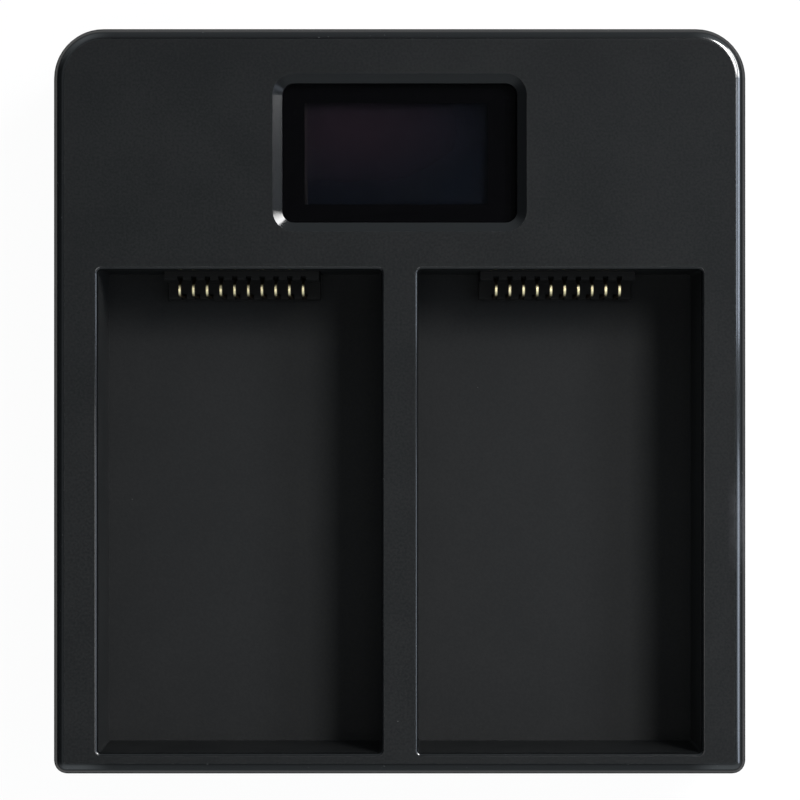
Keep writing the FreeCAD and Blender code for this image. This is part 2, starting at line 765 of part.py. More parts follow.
def make_usb_shell():
    body = new_body("usb_shell")
    mouth_y = half_length - size.usb_setback
    tube = new_sketch(body, "tube_outline", "XZ_Plane", -mouth_y)
    usb_outline(tube, zero)
    usb_outline(tube, -size.usb_sheet)
    pad(body, "tube", tube, size.usb_length)
    tabs = new_sketch(body, "tab_outlines", level=board_top_z)
    outer = size.usb_width / 2
    for left in (-outer, outer - size.usb_sheet):
        for front in (mouth_y - size.usb_length, mouth_y - size.usb_length / 2):
            rectangle(tabs, left, left + size.usb_sheet, front, front + size.usb_tab)
    pad(body, "tabs", tabs, size.usb_height / 2)
    return body


def make_usb_tongue():
    """Moulded insulator: a plug that closes the back of the shell and the tongue that carries the pads."""
    body = new_body("usb_tongue")
    mouth_y = half_length - size.usb_setback
    plug_y = mouth_y - size.usb_length + size.usb_base
    plug = new_sketch(body, "plug_outline", "XZ_Plane", -plug_y)
    usb_outline(plug, -size.usb_sheet - size.fit_clearance / 2)
    pad(body, "plug", plug, size.usb_base)
    tongue = new_sketch(body, "tongue_outline", "XZ_Plane", -plug_y)
    middle_z = board_top_z + size.usb_height / 2
    rectangle(tongue, -size.tongue_width / 2, size.tongue_width / 2,
              middle_z - size.tongue_thickness / 2, middle_z + size.tongue_thickness / 2)
    pad(body, "tongue", tongue, mouth_y - size.tongue_setback - plug_y, reverse=True)
    return body


def make_contact_block(label, x):
    """Terminal block: a low base in the bay floor, a slotted comb and a flange behind the head wall."""
    body = new_body(label)
    side = new_sketch(body, "side_profile", "YZ_Plane", -block_half_width)
    foot_z = seam_z + size.fit_clearance
    corners = [(block_front_y, foot_z), (head_wall_y, foot_z), (head_wall_y, board_top_z),
               (flange_back_y, board_top_z), (flange_back_y, block_top_z), (comb_front_y, block_top_z),
               (comb_front_y, base_top_z), (block_front_y, base_top_z)]
    trace(side, corners, {5: size.block_edge_radius, 7: size.block_edge_radius})
    pad(body, "base_and_comb", side, 2 * block_half_width)

    flange = new_sketch(body, "flange_outline", "XZ_Plane", -flange_back_y)
    half_flange = block_half_width + size.flange_overlap
    rectangle(flange, -half_flange, half_flange, board_top_z, block_top_z + size.flange_overlap)
    pad(body, "flange", flange, size.flange_thickness)

    slot = new_sketch(body, "slot_profile", "YZ_Plane", first_contact_x() - size.slot_width / 2)
    strip_top_z = board_top_z + size.contact_thickness
    open_front = block_front_y - size.block_reach
    open_back = flange_back_y + size.block_reach
    open_top = block_top_z + size.block_reach
    leg_back = leg_y + size.contact_thickness / 2 + size.flex_room
    slot_back = leg_y + size.leaf_reach + size.flex_room
    slot_floor = block_top_z - size.slot_depth
    low = board_top_z - size.fit_clearance
    high = strip_top_z + size.fit_clearance
    trace(slot, [(open_back, low), (open_front, low), (open_front, open_top), (slot_back, open_top),
                 (slot_back, slot_floor), (leg_back, slot_floor), (leg_back, high), (open_back, high)])
    first = pocket(body, "slot", slot, size.slot_width, reverse=True)

    row = body.newObject("PartDesign::LinearPattern", "slot_row")
    row.Originals = [first]
    row.Direction = (next(item for item in body.Origin.OriginFeatures if item.Role == "X_Axis"), [""])
    row.setExpression("Length", (size.contact_pitch * (size.contact_count - 1)).formula)
    row.setExpression("Occurrences", size.contact_count.formula)
    body.Tip = row
    doc.recompute()
    place(body, x, zero, zero)
    return body


def first_contact_x():
    return size.contact_pitch * (1 - int(size.contact_count.value)) / 2


def make_contact(label, x):
    """Gold leaf: a tail on the board, a leg up from the base and a crest sprung back into the comb."""
    body = new_body(label)
    tail_z = board_top_z + size.contact_thickness / 2
    crest_z = block_top_z + size.contact_rise
    corners = [(flange_back_y + size.tail_length, tail_z), (leg_y, tail_z), (leg_y, crest_z),
               (leg_y + size.crest_length, crest_z), (leg_y + size.leaf_reach, crest_z - size.leaf_drop)]
    radii = {1: size.contact_bend, 2: size.crest_bend, 3: size.crest_bend}
    formed_strip(body, corners, radii, size.contact_width, size.contact_thickness)
    place(body, x, zero, zero)
    return body


def make_screw(name, length, x, y, z):
    """Pan-head screw that points up, with its head's seat at the given height."""
    body = new_body(name)
    profile = new_sketch(body, "screw_profile", "XZ_Plane")
    head = size.screw_head_radius
    corners = [(zero, -size.screw_head_height), (head, -size.screw_head_height), (head, zero),
               (size.screw_radius, zero), (size.screw_radius, length - size.screw_point), (zero, length)]
    trace(profile, corners, {1: size.screw_head_round})
    revolve(body, "screw_blank", profile)
    cross = new_sketch(body, "recess_outline", level=-size.screw_head_height)
    arm = size.recess_arm
    half = size.recess_width / 2
    trace(cross, [(arm, -half), (arm, half), (half, half), (half, arm), (-half, arm), (-half, half),
                  (-arm, half), (-arm, -half), (-half, -half), (-half, -arm), (half, -arm), (half, -half)])
    pocket(body, "cross_recess", cross, size.recess_depth, reverse=True)
    place(body, x, y, z)
    return body


def make_screw_group(label, length, places, seat_z):
    screws = [make_screw(f"{label}_{i}", length, x, y, seat_z) for i, (x, y) in enumerate(places, start=1)]
    group = doc.addObject("Part::Compound", label)
    group.Label = label
    group.Links = screws
    doc.recompute()
    return group


def make_all():
    chip_x = board_half_width - size.chip_side_gap - size.chip_width / 2
    inner_chip_x = carrier_half_width + size.chip_side_gap + size.chip_width / 2
    parts = [make_top_housing(), make_bottom_cover(), make_display_window(), make_window_gasket(),
             make_lcd_panel(), make_lcd_backlight(), make_lcd_frame(), make_lcd_ribbon(), make_main_board(),
             make_chip("microcontroller", size.controller_leads, -inner_chip_x),
             make_chip("charge_chip_left", size.charger_leads, -chip_x),
             make_chip("charge_chip_right", size.charger_leads, chip_x),
             make_input_capacitor(inner_chip_x), make_usb_shell(), make_usb_tongue()]
    for side, center in (("left", -bay_center_x), ("right", bay_center_x)):
        parts.append(make_contact_block(f"contact_block_{side}", center))
        for i in range(int(size.contact_count.value)):
            x = center + first_contact_x() + size.contact_pitch * i
            parts.append(make_contact(f"contact_{side}_{i + 1:02d}", x))
    corners = [(x, y) for x in (-screw_x, screw_x) for y in screw_ys]
    parts.append(make_screw_group("housing_screws", size.screw_length, corners, screw_seat_z))
    posts = [(-board_screw_x, board_screw_y), (board_screw_x, board_screw_y)]
    parts.append(make_screw_group("board_screws", size.board_screw_length, posts, board_bottom_z))
    parts.extend(make_foot(label, x, y) for label, (x, y) in foot_places().items())
    return parts


sub_parts = make_all()
doc.recompute()
failed = [item.Name for item in doc.Objects if "Invalid" in item.State or "Error" in item.State]
failed += [item.Label for item in sub_parts if item.Shape.isNull() or not item.Shape.isValid()]
if failed:
    raise RuntimeError("not built: " + ", ".join(failed))
os.makedirs("parts", exist_ok=True)
for item in sub_parts:
    item.Shape.exportStep(f"parts/{item.Label}.step")
    print(item.Label, len(item.Shape.Solids), round(item.Shape.Volume, 2))
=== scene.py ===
import bmesh
import bpy
import math
from mathutils import Matrix, Vector


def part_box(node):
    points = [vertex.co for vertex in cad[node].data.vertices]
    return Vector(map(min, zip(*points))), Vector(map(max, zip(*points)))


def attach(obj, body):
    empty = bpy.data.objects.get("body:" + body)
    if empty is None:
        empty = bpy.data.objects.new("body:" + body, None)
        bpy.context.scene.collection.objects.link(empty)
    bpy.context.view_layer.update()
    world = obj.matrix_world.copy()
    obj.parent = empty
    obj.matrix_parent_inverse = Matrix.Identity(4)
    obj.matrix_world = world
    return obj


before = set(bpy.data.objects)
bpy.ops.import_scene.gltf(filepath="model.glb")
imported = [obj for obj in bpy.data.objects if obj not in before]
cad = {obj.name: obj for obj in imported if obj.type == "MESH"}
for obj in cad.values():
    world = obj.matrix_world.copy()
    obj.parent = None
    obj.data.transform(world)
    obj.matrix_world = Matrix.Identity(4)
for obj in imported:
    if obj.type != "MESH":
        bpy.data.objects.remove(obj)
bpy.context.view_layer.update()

# Top housing: the one-piece upper shell with both battery bays and the window surround.
# It is injection moulded in black ABS on a spark-eroded tool, which leaves a fine satin grain. The
# bay walls are drawn smoother, and handling has polished and nicked the edges and left dust.
mm = 0.001
top_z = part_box("top_housing")[1].z
floor_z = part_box("contact_left_01")[0].z
window_low, window_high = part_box("display_window")
bay_side, bay_front, bay_head, rib_half = 37.4 * mm, -43.6 * mm, 16.3 * mm, 1.9 * mm


def new_finish(name):
    """Material with its node tree and the inputs of its shader."""
    finish = bpy.data.materials.new(name)
    finish.use_nodes = True
    tree = finish.node_tree
    return finish, tree, tree.nodes["Principled BSDF"].inputs


def feed(tree, socket, value):
    """Set a socket to a plain value, or link it to another node's output."""
    if isinstance(value, bpy.types.NodeSocket):
        tree.links.new(value, socket)
    else:
        socket.default_value = value


def add(tree, kind, settings=None, **inputs):
    """Add a shader node; underscores in an input's name stand for spaces."""
    made = tree.nodes.new("ShaderNode" + kind)
    for name, value in (settings or {}).items():
        setattr(made, name, value)
    for name, value in inputs.items():
        feed(tree, made.inputs[name.replace("_", " ")], value)
    return made


def combine(tree, operation, first, second=0.0):
    """Do one sum on two values."""
    made = add(tree, "Math", {"operation": operation})
    feed(tree, made.inputs[0], first)
    feed(tree, made.inputs[1], second)
    return made.outputs[0]


def overlap(tree, first, *others):
    """Mask that holds only where all the given masks hold."""
    shared = first
    for mask in others:
        shared = combine(tree, "MULTIPLY", shared, mask)
    return shared


def ramp(tree, value, low, high, to_low=0.0, to_high=1.0):
    """Spread the span from low to high smoothly over another span."""
    made = add(tree, "MapRange", {"interpolation_type": "SMOOTHSTEP"}, Value=value, From_Min=low,
               From_Max=high, To_Min=to_low, To_Max=to_high)
    return made.outputs["Result"]


def blend(tree, share, first, second):
    """Mix two colours."""
    made = add(tree, "Mix", {"data_type": "RGBA"})
    for index, value in ((0, share), (6, first), (7, second)):
        feed(tree, made.inputs[index], value)
    return made.outputs[2]


def mix(tree, share, first, second):
    """Mix two plain values."""
    made = add(tree, "Mix", {"data_type": "FLOAT"})
    for index, value in ((0, share), (2, first), (3, second)):
        feed(tree, made.inputs[index], value)
    return made.outputs[0]


def place_of(tree):
    """Place on the dock, in metres."""
    return add(tree, "TexCoord").outputs["Object"]


def noise(tree, place, feature, detail=2.0):
    """Cloudy pattern whose features are about the given length across."""
    made = add(tree, "TexNoise", Vector=place, Scale=1.0 / feature, Detail=detail, Roughness=0.55)
    return made.outputs["Fac"]


def grain(tree, shader, place, feature, depth):
    """Fine moulded relief over the whole surface."""
    relief = noise(tree, place, feature)
    bump = add(tree, "Bump", Strength=0.6, Distance=depth, Height=relief)
    feed(tree, shader["Normal"], bump.outputs["Normal"])
    return relief


def moulded_black(name, dark, pale, dull, mirror, feature, depth):
    """Black moulded plastic; returns also its place, colour and roughness for more wear on top."""
    finish, tree, shader = new_finish(name)
    place = place_of(tree)
    relief = grain(tree, shader, place, feature, depth)
    cloud = combine(tree, "MULTIPLY", noise(tree, place, 9.0 * mm, detail=3.0), 0.4)
    mottle = combine(tree, "ADD", relief, cloud)
    colour = blend(tree, ramp(tree, mottle, 0.45, 0.95), dark, pale)
    rough = ramp(tree, mottle, 0.45, 0.95, dull - 0.05, dull + 0.05)
    feed(tree, shader["Specular IOR Level"], mirror)
    feed(tree, shader["Base Color"], colour)
    feed(tree, shader["Roughness"], rough)
    return finish, tree, shader, place, colour, rough


def dress(finish, *names):
    """Give CAD pieces a finish."""
    for name in names:
        cad[name].material_slots[0].material = finish


housing_finish, tree, shader, place, colour, rough = moulded_black(
    "housing_black", (0.0003, 0.0011, 0.0015, 1.0), (0.0110, 0.0115, 0.0117, 1.0),
    dull=0.95, mirror=0.40, feature=0.30 * mm, depth=0.012 * mm)
spot = add(tree, "SeparateXYZ", Vector=place).outputs
sideways = combine(tree, "ABSOLUTE", spot["X"])
below_top = combine(tree, "SUBTRACT", top_z, spot["Z"])
above_floor = combine(tree, "SUBTRACT", spot["Z"], floor_z)

# Where the housing is rounded, where the window surround is and where the bays are.
flat_skin = (0.0008 * mm, 0.006 * mm)
polish_fade = (0.52 * mm, 0.75 * mm)
surround_near, surround_far = 2.0 * mm, 3.0 * mm
off_flat = ramp(tree, below_top, *flat_skin)
edge = overlap(tree, off_flat, ramp(tree, below_top, *polish_fade, 1.0, 0.0))
surround = overlap(
    tree,
    ramp(tree, spot["Y"], window_low.y - surround_far, window_low.y - surround_near),
    ramp(tree, spot["Y"], window_high.y + surround_near, window_high.y + surround_far, 1.0, 0.0),
    ramp(tree, sideways, window_high.x + surround_near, window_high.x + surround_far, 1.0, 0.0))
in_bay = overlap(
    tree,
    ramp(tree, sideways, bay_side + 0.5 * mm, bay_side + 0.8 * mm, 1.0, 0.0),
    ramp(tree, spot["Y"], bay_front - 0.8 * mm, bay_front - 0.6 * mm),
    ramp(tree, spot["Y"], bay_head + 0.7 * mm, bay_head + 1.2 * mm, 1.0, 0.0))

# Shine: grained flats, smoother bay walls and polished edges.
rim_depth = (0.45 * mm, 0.60 * mm)
floor_fillet = (0.05 * mm, 0.30 * mm)
end_wall_dull, side_wall_dull = 0.46, 0.75
edge_dull, surround_dull = 0.17, 0.15
grain_strength, polished_strength = 0.6, 0.08
wall = overlap(tree, in_bay, ramp(tree, below_top, *rim_depth), ramp(tree, above_floor, *floor_fillet))
wall_dull = ramp(tree, sideways, bay_side - 0.3 * mm, bay_side - 0.1 * mm, end_wall_dull, side_wall_dull)
rough = mix(tree, wall, rough, wall_dull)
rough = mix(tree, edge, rough, ramp(tree, surround, 0.0, 1.0, edge_dull, surround_dull))
feed(tree, shader["Roughness"], rough)
bump = shader["Normal"].links[0].from_node
feed(tree, bump.inputs["Strength"], ramp(tree, edge, 0.0, 1.0, grain_strength, polished_strength))

# Hands have rubbed the outer side edges and the left rim of each bay to a clear gloss.
gloss_fade = (0.19 * mm, 0.28 * mm)
grip_fade = (35.5 * mm, 40.0 * mm)
rim_gloss = 0.5
rims_middle, rims_reach = (rib_half - bay_side) / 2, (rib_half + bay_side) / 2
from_middle = combine(tree, "ABSOLUTE", combine(tree, "SUBTRACT", spot["X"], rims_middle))
left_rims = overlap(
    tree,
    ramp(tree, from_middle, rims_reach - 0.35 * mm, rims_reach - 0.15 * mm),
    ramp(tree, from_middle, rims_reach + 0.45 * mm, rims_reach + 0.65 * mm, rim_gloss, 0.0))
gripped = mix(tree, in_bay, ramp(tree, sideways, *grip_fade), left_rims)
glossy = overlap(tree, ramp(tree, below_top, *gloss_fade, 1.0, 0.0), off_flat, gripped)
feed(tree, shader["Coat Weight"], glossy)
feed(tree, shader["Coat Roughness"], 0.08)
feed(tree, shader["Coat IOR"], 1.75)

# Wear: scuffed bay floors, dust specks and nicked edges; and a paler patch on the right edge.
scuff_fade, scuff_share = (0.5 * mm, 1.0 * mm), 0.35
speck_spacing, speck_share = 3.4 * mm, 0.35
nick_size, nick_share = 0.35 * mm, 0.5
pale_patch_y, pale_patch_fade, pale_patch_share = -15.0 * mm, (2.0 * mm, 7.0 * mm), 0.5
pale_patch_side, pale_patch_depth, pale_patch_mottle = (40.4 * mm, 41.6 * mm), (1.0 * mm, 2.5 * mm), 1.1 * mm
scuffs = ramp(tree, above_floor, *scuff_fade, scuff_share, 0.0)
worn = blend(tree, scuffs, colour, (0.0150, 0.0152, 0.0152, 1.0))
worn = blend(tree, edge, worn, (0.0035, 0.0039, 0.0043, 1.0))
cells = add(tree, "TexVoronoi", Vector=place, Scale=1.0 / speck_spacing)
chosen = ramp(tree, add(tree, "SeparateColor", Color=cells.outputs["Color"]).outputs[0], 0.80, 0.82)
specks = overlap(tree, chosen, ramp(tree, cells.outputs["Distance"], 0.012, 0.030, 1.0, 0.0), speck_share)
worn = blend(tree, specks, worn, (0.20, 0.20, 0.19, 1.0))
nicked = ramp(tree, noise(tree, place, nick_size, detail=1.0), 0.74, 0.80)
nicks = overlap(tree, edge, nicked, combine(tree, "SUBTRACT", 1.0, surround), nick_share)
worn = blend(tree, nicks, worn, (0.090, 0.090, 0.092, 1.0))
along = combine(tree, "ABSOLUTE", combine(tree, "SUBTRACT", spot["Y"], pale_patch_y))
pale_patch = overlap(
    tree,
    ramp(tree, along, *pale_patch_fade, pale_patch_share, 0.0),
    ramp(tree, spot["X"], *pale_patch_side),
    ramp(tree, below_top, *pale_patch_depth, 1.0, 0.0),
    ramp(tree, noise(tree, place, pale_patch_mottle, detail=4.0), 0.30, 0.70, 0.4, 1.0))
worn = blend(tree, pale_patch, worn, (0.042, 0.042, 0.046, 1.0))
feed(tree, shader["Base Color"], worn)
dress(housing_finish, "top_housing")

# Display window: a flat sheet of smoked acrylic with polished edges, pressed down on a die-cut
# frame of black foam tape that hides all but the active area of the display under it.
smoke = (0.50, 0.49, 0.53, 1.0)
window_finish, tree, shader = new_finish("smoked_acrylic")
place = place_of(tree)
haze = noise(tree, place, 2.5 * mm, detail=4.0)
feed(tree, shader["Base Color"], smoke)
feed(tree, shader["Roughness"], ramp(tree, haze, 0.35, 0.75, 0.03, 0.09))
feed(tree, shader["IOR"], 1.49)
feed(tree, shader["Transmission Weight"], 1.0)
lamps_pass = add(tree, "BsdfTransparent", Color=smoke)
choice = add(tree, "MixShader")
feed(tree, choice.inputs[0], add(tree, "LightPath").outputs["Is Shadow Ray"])
feed(tree, choice.inputs[1], tree.nodes["Principled BSDF"].outputs[0])
feed(tree, choice.inputs[2], lamps_pass.outputs[0])
feed(tree, tree.nodes["Material Output"].inputs["Surface"], choice.outputs[0])
dress(window_finish, "display_window")

tape_finish, tree, shader = new_finish("foam_tape_black")
place = place_of(tree)
pores = noise(tree, place, 0.12 * mm, detail=3.0)
foam = blend(tree, pores, (0.0015, 0.0015, 0.0018, 1.0), (0.0040, 0.0040, 0.0045, 1.0))
feed(tree, shader["Base Color"], foam)
feed(tree, shader["Roughness"], ramp(tree, pores, 0.2, 0.8, 0.75, 0.9))
feed(tree, shader["Specular IOR Level"], 0.20)
dress(tape_finish, "window_gasket")

# Display cell: two bonded glass plates with polarising film, seen dark because it is switched off.
# Its colour holds a painted reflection: a plum sheen that falls off to blue-black across the active
# area. A paler line shows where the seal between the plates runs along the left edge.
display_finish, tree, shader = new_finish("polariser_film")
place = place_of(tree)
low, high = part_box("lcd_panel")
centre = (low + high) / 2
reflection_x, reflection_y = centre.x - 6.0 * mm, centre.y + 3.5 * mm
reflection_width, reflection_length = 12.0 * mm, 6.0 * mm
seal_edge = (-11.25 * mm, -11.0 * mm)
seal_share = 0.7
reflection_place = add(tree, "Mapping", Vector=place, Location=(-reflection_x / reflection_width, -reflection_y / reflection_length, 0.0),
           Scale=(1.0 / reflection_width, 1.0 / reflection_length, 0.0))
off_reflection = add(tree, "VectorMath", {"operation": "LENGTH"}, Vector=reflection_place.outputs[0]).outputs["Value"]
uneven = combine(tree, "MULTIPLY", noise(tree, place, 5.0 * mm), 0.3)
# Painted reflection: the plum sheen is painted into the film's colour and fades to blue-black away from
# its centre.
painted_reflection = ramp(tree, combine(tree, "ADD", off_reflection, uneven), 0.10, 1.80, 1.0, 0.0)
film = blend(tree, painted_reflection, (0.0050, 0.0090, 0.0148, 1.0), (0.0390, 0.0250, 0.0310, 1.0))
across = combine(tree, "SUBTRACT", add(tree, "SeparateXYZ", Vector=place).outputs["X"], centre.x)
seal = ramp(tree, across, *seal_edge, seal_share, 0.0)
film = blend(tree, seal, film, (0.060, 0.054, 0.042, 1.0))
feed(tree, shader["Base Color"], film)
feed(tree, shader["Roughness"], ramp(tree, noise(tree, place, 0.4 * mm), 0.3, 0.7, 0.12, 0.20))
dress(display_finish, "lcd_panel")

# Light guide and carrier: a milky acrylic plate that lights the display from below, in a white
# moulded tray whose four legs stand on the circuit board.
dot_pitch = 0.5 * mm
guide_finish, tree, shader = new_finish("light_guide_milky")
place = place_of(tree)
dots = add(tree, "TexVoronoi", Vector=place, Scale=1.0 / dot_pitch, Randomness=0.0)
printed = ramp(tree, dots.outputs["Distance"], 0.25, 0.35, 1.0, 0.0)
milky = blend(tree, printed, (0.62, 0.64, 0.64, 1.0), (0.80, 0.80, 0.78, 1.0))
feed(tree, shader["Base Color"], milky)
feed(tree, shader["Roughness"], ramp(tree, printed, 0.0, 1.0, 0.25, 0.55))
dress(guide_finish, "lcd_backlight")

carrier_finish, tree, shader = new_finish("carrier_white")
place = place_of(tree)
cloud = noise(tree, place, 4.0 * mm)
off_white = blend(tree, cloud, (0.60, 0.60, 0.57, 1.0), (0.70, 0.70, 0.67, 1.0))
feed(tree, shader["Base Color"], off_white)
feed(tree, shader["Roughness"], ramp(tree, cloud, 0.3, 0.7, 0.42, 0.52))
grain(tree, shader, place, 0.15 * mm, 0.004 * mm)
dress(carrier_finish, "lcd_frame")

# Ribbon: amber polyimide film with copper tracks, bonded to the bared edge of the display glass
# and folded down to its pads on the board.
track_pitch, unit_wavelength = 0.8 * mm, 0.314
ribbon_finish, tree, shader = new_finish("ribbon_amber")
place = place_of(tree)
stripes = add(tree, "TexWave", {"bands_direction": "X"}, Vector=place,
              Scale=unit_wavelength / track_pitch)
copper = ramp(tree, stripes.outputs["Fac"], 0.45, 0.55)
amber = blend(tree, copper, (0.26, 0.10, 0.014, 1.0), (0.42, 0.20, 0.06, 1.0))
feed(tree, shader["Base Color"], amber)
feed(tree, shader["Roughness"], ramp(tree, copper, 0.0, 1.0, 0.25, 0.38))
dress(ribbon_finish, "lcd_ribbon")

# Circuit board: glass-fibre laminate with etched copper tracks that stand up a little under green
# solder mask. It is screwed to two posts of the housing.
track_run, track_height = 2.4 * mm, 0.03 * mm
board_finish, tree, shader = new_finish("solder_mask_green")
place = place_of(tree)
tracks = add(tree, "TexBrick", Vector=place, Scale=1.0 / track_run, Mortar_Size=0.06, Mortar_Smooth=0.1,
             Brick_Width=1.6, Row_Height=0.35).outputs["Fac"]
green = blend(tree, tracks, (0.006, 0.055, 0.020, 1.0), (0.014, 0.110, 0.040, 1.0))
feed(tree, shader["Base Color"], green)
feed(tree, shader["Roughness"], ramp(tree, noise(tree, place, 1.5 * mm), 0.3, 0.7, 0.26, 0.36))
relief = add(tree, "Bump", Strength=0.5, Distance=track_height, Height=tracks)
feed(tree, shader["Normal"], relief.outputs["Normal"])
dress(board_finish, "main_board")

# Chips and capacitor: epoxy packages with tinned leads, and an aluminium can on a black base, all
# soldered to the board behind the display.
board_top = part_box("main_board")[1].z
lead_top, can_base_top = board_top + 0.25 * mm, board_top + 0.88 * mm
chip_finish, tree, shader = new_finish("chip_epoxy")
place = place_of(tree)
height = add(tree, "SeparateXYZ", Vector=place).outputs["Z"]
tinned = ramp(tree, height, lead_top, lead_top + 0.02 * mm, 1.0, 0.0)
cloud = noise(tree, place, 0.1 * mm)
epoxy = blend(tree, cloud, (0.012, 0.012, 0.013, 1.0), (0.022, 0.022, 0.023, 1.0))
feed(tree, shader["Base Color"], blend(tree, tinned, epoxy, (0.62, 0.61, 0.58, 1.0)))
feed(tree, shader["Metallic"], tinned)
feed(tree, shader["Roughness"], ramp(tree, cloud, 0.2, 0.8, 0.38, 0.55))
dress(chip_finish, "microcontroller", "charge_chip_left", "charge_chip_right")

can_finish, tree, shader = new_finish("capacitor_can")
place = place_of(tree)
height = add(tree, "SeparateXYZ", Vector=place).outputs["Z"]
bare = ramp(tree, height, can_base_top, can_base_top + 0.04 * mm)
brushed = noise(tree, add(tree, "Mapping", Vector=place, Scale=(1.0, 1.0, 30.0)).outputs[0], 2.0 * mm)
can_colour = blend(tree, bare, (0.014, 0.014, 0.015, 1.0), (0.66, 0.67, 0.68, 1.0))
feed(tree, shader["Base Color"], can_colour)
feed(tree, shader["Metallic"], bare)
feed(tree, shader["Roughness"], ramp(tree, brushed, 0.3, 0.7, 0.26, 0.42))
dress(can_finish, "input_capacitor")

# Terminal blocks: insulators moulded in black glass-filled nylon, one per bay. Each comes up through
# the bay floor, with a low base there and a slotted comb that stands against the head wall.
terminal_finish = moulded_black(
    "terminal_black", (0.0070, 0.0068, 0.0064, 1.0), (0.0130, 0.0126, 0.0120, 1.0),
    dull=0.85, mirror=0.20, feature=0.14 * mm, depth=0.003 * mm)[0]
dress(terminal_finish, "contact_block_left", "contact_block_right")

# Sealant: a bead of soft black silicone, drawn into the joint between each block and the bay floor so
# that dust and moisture stay out of the housing.
joint_width, bead_height, bead_drop, bead_round = 0.20 * mm, 0.40 * mm, 0.10 * mm, 0.05 * mm
block_flange = 1.0 * mm
bead_foot = floor_z - bead_drop - bead_height
sealant_finish = moulded_black(
    "sealant_black", (0.0100, 0.0104, 0.0104, 1.0), (0.0150, 0.0152, 0.0152, 1.0),
    dull=0.85, mirror=0.40, feature=0.40 * mm, depth=0.010 * mm)[0]


def new_piece(name, shape, finish):
    """Turn a bmesh into a piece that rides on the dock."""
    mesh = bpy.data.meshes.new(name)
    shape.to_mesh(mesh)
    shape.free()
    mesh.materials.append(finish)
    piece = bpy.data.objects.new(name, mesh)
    bpy.context.scene.collection.objects.link(piece)
    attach(piece, "root")


for side in ("left", "right"):
    low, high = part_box("contact_block_" + side)
    block_left, block_right, block_front = low.x + block_flange, high.x - block_flange, low.y
    joint_left, joint_right = block_left - joint_width, block_right + joint_width
    joint_front = block_front - joint_width
    corners = [(joint_left, bay_head), (joint_left, joint_front),
               (joint_right, joint_front), (joint_right, bay_head),
               (block_right, bay_head), (block_right, block_front),
               (block_left, block_front), (block_left, bay_head)]
    bead = bmesh.new()
    outline = bead.faces.new([bead.verts.new((x, y, bead_foot)) for x, y in corners])
    raised = bmesh.ops.extrude_face_region(bead, geom=[outline])["geom"]
    crown = [part for part in raised if isinstance(part, bmesh.types.BMVert)]
    bmesh.ops.translate(bead, vec=(0.0, 0.0, bead_height), verts=crown)
    crown_edges = [line for line in bead.edges if all(corner in crown for corner in line.verts)]
    bmesh.ops.bevel(bead, geom=crown_edges, offset=bead_round, affect="EDGES", segments=3,
                    profile=0.5, material=-1)
    bmesh.ops.recalc_face_normals(bead, faces=bead.faces[:])
    new_piece("terminal_seal_" + side, bead, sealant_finish)

# Contacts: phosphor-bronze leaves, stamped and folded up from the base of each block, with a crest that
# springs back into the comb. Gold plating shows only on the front of the crest that meets the battery;
# the sheared sides, legs and rear of the crest stay dull bronze, which on the legs and rear is painted
# shade.
leaf_count = 10
leaf_left, leaf_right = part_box("contact_left_01"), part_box("contact_right_01")
leaf_front, leaf_top = leaf_left[0].y, leaf_left[1].z
leaf_pitch = (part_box("contact_left_10")[0].x - leaf_left[0].x) / (leaf_count - 1)
plated_and_lit_depth, plated_and_lit_reach = (0.70 * mm, 0.90 * mm), (1.20 * mm, 1.55 * mm)
plated_half = (0.12 * mm, 0.16 * mm)


def gold_plate(name):
    """Rubbed gold plating; returns also its place and colour."""
    finish, tree, shader = new_finish(name)
    place = place_of(tree)
    rubbed = noise(tree, place, 0.25 * mm, detail=3.0)
    colour = blend(tree, rubbed, (1.00, 0.86, 0.49, 1.0), (1.00, 0.92, 0.62, 1.0))
    feed(tree, shader["Base Color"], colour)
    feed(tree, shader["Metallic"], 1.0)
    feed(tree, shader["Roughness"], ramp(tree, rubbed, 0.3, 0.7, 0.42, 0.54))
    return finish, tree, shader, place, colour


leaf_finish, tree, shader, place, gold = gold_plate("contact_gold")
spot = add(tree, "SeparateXYZ", Vector=place).outputs
first_leaf = mix(tree, combine(tree, "GREATER_THAN", spot["X"], 0.0),
                 (leaf_left[0].x + leaf_left[1].x) / 2, (leaf_right[0].x + leaf_right[1].x) / 2)
off_middle = combine(tree, "PINGPONG", combine(tree, "SUBTRACT", spot["X"], first_leaf), leaf_pitch / 2)
# Gold where the crest is plated and lit. The dull bronze below and behind it is also painted shade from
# the head wall's shadow.
plated_and_lit = overlap(
    tree,
    ramp(tree, combine(tree, "SUBTRACT", leaf_top, spot["Z"]), *plated_and_lit_depth, 1.0, 0.0),
    ramp(tree, combine(tree, "SUBTRACT", spot["Y"], leaf_front), *plated_and_lit_reach, 1.0, 0.0),
    ramp(tree, off_middle, *plated_half, 1.0, 0.0))
feed(tree, shader["Base Color"], blend(tree, plated_and_lit, (0.075, 0.052, 0.030, 1.0), gold))
dress(leaf_finish, *(name for name in cad if name.startswith(("contact_left_", "contact_right_"))))

# Power inlet: a drawn stainless shell soldered to the board behind its opening in the rear wall,
# closed at the back by a black moulding whose tongue carries gold pads on both faces.
steel_finish, tree, shader = new_finish("inlet_stainless")
place = place_of(tree)
pulled = add(tree, "Mapping", Vector=place, Scale=(1.0, 0.05, 1.0)).outputs[0]
drawn = noise(tree, pulled, 0.12 * mm, detail=3.0)
steel = blend(tree, drawn, (0.48, 0.47, 0.46, 1.0), (0.64, 0.63, 0.61, 1.0))
feed(tree, shader["Base Color"], steel)
feed(tree, shader["Metallic"], 1.0)
feed(tree, shader["Roughness"], ramp(tree, drawn, 0.25, 0.75, 0.20, 0.36))
dress(steel_finish, "usb_shell")

tongue_finish = moulded_black(
    "inlet_black", (0.008, 0.008, 0.008, 1.0), (0.013, 0.013, 0.013, 1.0),
    dull=0.50, mirror=0.50, feature=0.10 * mm, depth=0.002 * mm)[0]
dress(tongue_finish, "usb_tongue")

